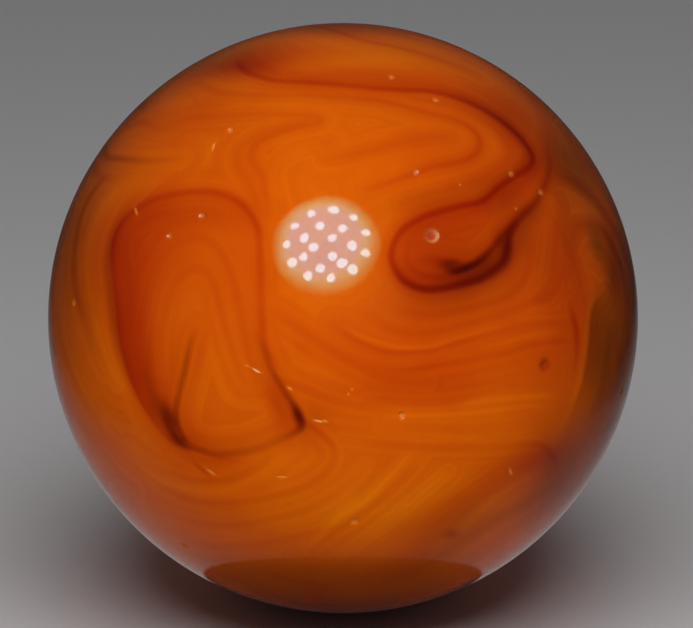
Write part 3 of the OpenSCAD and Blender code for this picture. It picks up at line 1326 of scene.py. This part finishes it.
# The burst bubble's pale rim is partly crushed glass and partly a painted highlight.
BUBBLE = Mark(MarkKind.BUBBLE, (18, 16), 0.4 * MM, 0.1 * MM, rough=1.0, pale=0.65)
PALE_PITS = pits(
    (
        (-65, 3), (-56, -50), (-29, 39), (3, -43), (12, -19), (16, 54), (27, 47), (40, 29),
        (47, 25), (76, -14),
    )
)
FAINT_PITS = pits(((-37, 16), (-30, 20), (16, 29)), pale=0.2)
DARK_PITS = pits(((43, -9),), rough=0.0, pale=0.0)
NICKS = tuple(
    Mark(MarkKind.NICK, (east, north), NICK_LENGTH, NICK_DEPTH, turn=turn, pale=0.6)
    for east, north, turn in (
        (-80, -39, 60), (-48, 21, -47), (-32, 35, 92), (-31, -31, -39),
        (-17, -10, -28), (-14, -32, 0), (-5, -20, -13), (41, -31, -50),
    )
)
SCUFFS = tuple(
    Mark(kind, at, length * MM, 0.0, turn=turn, rough=0.3, pale=pale)
    for kind, at, length, turn, pale in (
        (MarkKind.NICK, (-10.5, -13.6), 0.22, -32, 0.7),
        (MarkKind.NICK, (-3.7, -20.1), 0.22, -17, 0.8),
        (MarkKind.NICK, (-18.9, -9.2), 0.24, -25, 0.3),
        (MarkKind.HOLLOW, (26, 26.5), 0.12, 0, 0.3),
        (MarkKind.HOLLOW, (38.5, 21.5), 0.12, 0, 0.3),
        (MarkKind.HOLLOW, (1.1, -14.7), 0.1, 0, 0.4),
        (MarkKind.HOLLOW, (1.8, -13.8), 0.1, 0, 0.4),
    )
)
MARKS: tuple[Mark, ...] = (BUBBLE, *DARK_PITS, *SCUFFS, *PALE_PITS, *FAINT_PITS, *NICKS)


# ---------------------------------------------------------------- marble


@dataclass(frozen=True)
class Marble:
    """The ball of swirled glass, which stands for the CAD node.

    Cells are halved within `fine_within` degrees of the middle of the face, and then
    round each mark, once for each share of its reach. On the map, `map_reach` degrees
    from the middle of a half come to `map_r`.
    """

    middle: Vector
    r: float
    cells_across: int = 80
    fine_within: float = 78.0
    mark_margin: float = 0.075 * MM
    mark_shares: tuple[float, ...] = (1.5, 1.0)
    map_r: float = 0.47
    map_reach: float = 93.0

    def build(self) -> bpy.types.Object:
        """Makes the ball and dresses it."""
        ball = self.add_ball()
        places = self.refine(ball.data)
        self.press_marks(ball.data, places)
        self.lay_map(ball.data, places)
        self.store_glass(ball.data, places)
        bpy.ops.object.shade_smooth()
        ball.data.materials.append(SwirlGlass().build())
        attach(ball, "root")
        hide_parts("marble")
        return ball

    def add_ball(self) -> bpy.types.Object:
        """Divides a cube that has one corner in the middle of the face."""
        corner_up = math.asin(1 / math.sqrt(3))
        lean = Matrix.Rotation(corner_up - FACE_TILT, 3, "X")
        lean = lean @ Matrix.Rotation(math.radians(45), 3, "Z")
        bpy.ops.object.select_all(action="DESELECT")
        bpy.ops.mesh.primitive_cube_add(
            size=2 * self.r, location=self.middle, rotation=lean.to_euler()
        )
        ball = bpy.context.object
        ball.name = "marble_glass"
        bpy.ops.object.transform_apply(location=True, rotation=True, scale=True)
        bpy.ops.object.mode_set(mode="EDIT")
        bpy.ops.mesh.select_all(action="SELECT")
        bpy.ops.mesh.subdivide(number_cuts=self.cells_across - 1)
        bpy.ops.object.mode_set(mode="OBJECT")
        return ball

    def directions(self, parts: bpy.types.bpy_prop_collection, place: str) -> np.ndarray:
        """Works out where the mesh's vertices or faces lie.

        Args:
            parts: The vertices or the faces.
            place: What their place is called.

        Returns:
            The direction of each from the ball's centre.
        """
        places = np.empty(3 * len(parts))
        parts.foreach_get(place, places)
        return unit(places.reshape(-1, 3) - np.array(self.middle))

    def divide(self, mesh: bpy.types.Mesh, chosen: np.ndarray) -> None:
        """Halves the chosen faces both ways."""
        mesh.vertices.foreach_set("select", np.zeros(len(mesh.vertices), dtype=bool))
        mesh.edges.foreach_set("select", np.zeros(len(mesh.edges), dtype=bool))
        mesh.polygons.foreach_set("select", chosen)
        bpy.ops.object.mode_set(mode="EDIT")
        bpy.ops.mesh.select_mode(type="FACE")
        bpy.ops.mesh.subdivide(number_cuts=1)
        bpy.ops.object.mode_set(mode="OBJECT")

    def refine(self, mesh: bpy.types.Mesh) -> np.ndarray:
        """Gives the face and the surroundings of each mark smaller cells.

        Args:
            mesh: The ball's mesh, with even cells.

        Returns:
            The direction of each vertex from the ball's centre.
        """
        ahead = self.directions(mesh.polygons, "center") @ on_face(0, 0)
        self.divide(mesh, ahead > math.cos(math.radians(self.fine_within)))
        for share in self.mark_shares:
            faces = self.directions(mesh.polygons, "center")
            near = np.zeros(len(faces), dtype=bool)
            for mark in MARKS:
                reach = share * (mark.length / 2 + self.mark_margin)
                near |= faces @ on_face(*mark.at) > math.cos(reach / self.r)
            self.divide(mesh, near)
        return self.directions(mesh.vertices, "co")

    def press_marks(self, mesh: bpy.types.Mesh, places: np.ndarray) -> None:
        """Puts each vertex on the ball, or as far below it as the marks go."""
        dent = np.zeros(len(places))
        for mark in MARKS:
            dent = np.maximum(dent, mark.dent(places, self.r))
        final = np.array(self.middle) + places * (self.r - dent)[:, None]
        mesh.vertices.foreach_set("co", final.ravel())
        mesh.update()

    def lay_map(self, mesh: bpy.types.Mesh, places: np.ndarray) -> None:
        """Lays the front and the back half flat, side by side, on the piece's own map."""
        for old in list(mesh.uv_layers):
            mesh.uv_layers.remove(old)
        layer = mesh.uv_layers.new(name="OFBake")
        ahead, right, up = flat_axes((0, 0), 0)
        corners = np.empty(len(mesh.loops), dtype=int)
        mesh.loops.foreach_get("vertex_index", corners)
        counts = np.empty(len(mesh.polygons), dtype=int)
        mesh.polygons.foreach_get("loop_total", counts)
        front = np.repeat(self.directions(mesh.polygons, "center") @ ahead > 0, counts)
        at = places[corners]
        away = np.degrees(np.arccos(np.where(front, at @ ahead, -(at @ ahead)).clip(-1, 1)))
        x, y = at @ right, at @ up
        scale = self.map_r * away / self.map_reach / np.hypot(x, y).clip(TINY, None)
        uv = np.column_stack([np.where(front, 0.25, 0.75) + x * scale / 2, 0.5 + y * scale])
        layer.uv.foreach_set("vector", uv.ravel())

    def store_glass(self, mesh: bpy.types.Mesh, places: np.ndarray) -> None:
        """Keeps the dye, the painted shade at the base, the crushed glass and the bubble's painted
        rim highlight as attributes for the material to read.
        """
        ember, smoke_and_painted_shade, drift = dye_and_painted_shade_densities(places)
        looks = {"ember": ember, "smoke_and_painted_shade": smoke_and_painted_shade, "drift": drift}
        looks.update({name: np.zeros(len(places)) for name in ("rough", "burst", "chipped")})
        for mark in MARKS:
            pale_name = "burst" if mark.kind is MarkKind.BUBBLE else "chipped"
            for name, more in zip(("rough", pale_name), mark.crushed_and_rim_highlight(places, self.r)):
                looks[name] = np.maximum(looks[name], more)
        for name, values in looks.items():
            layer = mesh.attributes.new(name, "FLOAT", "POINT")
            layer.data.foreach_set("value", values)


@dataclass(frozen=True)
class SwirlGlass:
    """Honey glass whose dye follows the trails, with fine streaks that run along them.

    A dye takes light away from each colour by the exponential law. Pattern scales are in
    repeats for each metre, streaks are counted for each degree off a trail, and depths
    are densities of ember.
    """

    honey: tuple[float, float, float] = (0.80, 0.125, 0.001)
    ember_takes: tuple[float, float, float] = (0.35, 1.0, 0.6)
    broad_streaks: float = 0.22
    broad_depth: float = 0.42
    fine_streaks: float = 0.9
    fine_depth: float = 0.25
    streak_run: float = 110.0
    mottle: float = 420.0
    mottle_depth: float = 0.25
    # The pale rim of the burst bubble: crushed glass, with a painted highlight.
    burst: tuple[float, float, float, float] = (0.95, 0.33, 0.1, 1.0)
    chipped: tuple[float, float, float, float] = (1.0, 0.38, 0.03, 1.0)
    roughness: float = 0.045
    crushed_roughness: float = 0.9
    ior: float = 1.52
    shine: float = 0.4
    ripple: float = 1800.0
    ripple_height: float = 3e-6

    def build(self) -> bpy.types.Material:
        """Returns the material."""
        material = bpy.data.materials.new("swirl_glass")
        material.use_nodes = True
        nodes = Nodes(material.node_tree)
        places = nodes.add("ShaderNodeTexCoord").outputs["Object"]
        roughness = nodes.maths(
            "MULTIPLY_ADD", nodes.attribute("rough"), self.crushed_roughness, self.roughness
        )
        shader = nodes.add(
            "ShaderNodeBsdfPrincipled",
            {
                "Base Color": self.colour(nodes, places),
                "Roughness": roughness,
                "IOR": self.ior,
                "Specular IOR Level": self.shine,
                "Normal": self.ripples(nodes, places),
            },
        )
        nodes.add("ShaderNodeOutputMaterial", {"Surface": shader.outputs[0]})
        return material

    def streaks(self, nodes: Nodes, places: Socket, per_degree: float, depth: float) -> Socket:
        """Adds streaks that run along the trails.

        Args:
            nodes: The material's nodes.
            places: The places on the ball.
            per_degree: How many streaks there are for each degree off a trail.
            depth: How much ember they add or take away.

        Returns:
            The ember density of the streaks.
        """
        run = nodes.add(
            "ShaderNodeVectorMath", {0: places, "Scale": self.streak_run}, operation="SCALE"
        )
        off = nodes.maths("MULTIPLY", nodes.attribute("drift"), per_degree)
        looks = {"Vector": run.outputs[0], "W": off, "Scale": 1.0, "Detail": 3.0, "Roughness": 0.55}
        return nodes.noise(looks, depth, noise_dimensions="4D")

    def colour(self, nodes: Nodes, places: Socket) -> Socket:
        """Works out the colour of the glass from its dyes, with the painted shade at its base and
        the painted highlight on the bubble's rim.
        """
        mottle = {"Vector": places, "Scale": self.mottle, "Detail": 4.0, "Roughness": 0.6}
        ember = nodes.chain(
            "ADD",
            nodes.attribute("ember"),
            self.streaks(nodes, places, self.broad_streaks, self.broad_depth),
            self.streaks(nodes, places, self.fine_streaks, self.fine_depth),
            nodes.noise(mottle, self.mottle_depth),
        )
        # The smoke dye, with the painted shade low on the ball.
        smoke_and_painted_shade = nodes.attribute("smoke_and_painted_shade")
        channels = []
        for honey, taken in zip(self.honey, self.ember_takes):
            depth = nodes.maths("MULTIPLY_ADD", ember, taken, smoke_and_painted_shade)
            left = nodes.maths("EXPONENT", nodes.maths("MULTIPLY", depth, -1.0))
            channels.append(nodes.maths("MULTIPLY", left, honey))
        glass = nodes.add("ShaderNodeCombineColor", dict(enumerate(channels))).outputs[0]
        for name, pale in (("burst", self.burst), ("chipped", self.chipped)):
            glass = nodes.add(
                "ShaderNodeMix",
                {"Factor": nodes.attribute(name), "A": glass, "B": pale},
                data_type="RGBA",
            ).outputs["Result"]
        return glass

    def ripples(self, nodes: Nodes, places: Socket) -> Socket:
        """Ripples the surface so slightly that only highlights show it."""
        noise = nodes.add(
            "ShaderNodeTexNoise", {"Vector": places, "Scale": self.ripple, "Detail": 1.0}
        )
        bump = nodes.add(
            "ShaderNodeBump", {"Height": noise.outputs["Fac"], "Distance": self.ripple_height}
        )
        return bump.outputs[0]


def main() -> None:
    """Builds the marble and its studio."""
    logging.basicConfig(level=logging.INFO, format="%(name)s: %(message)s")
    low, high = (Vector(corner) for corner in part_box("marble"))
    middle = (low + high) / 2
    r = max(high - low) / 2
    ball = Marble(middle, r).build()
    log.info("%s: %d faces", ball.name, len(ball.data.polygons))
    Studio(ball, middle, r).build()
    bpy.context.scene.view_settings.view_transform = "Standard"


if __name__ == "__main__":
    main()
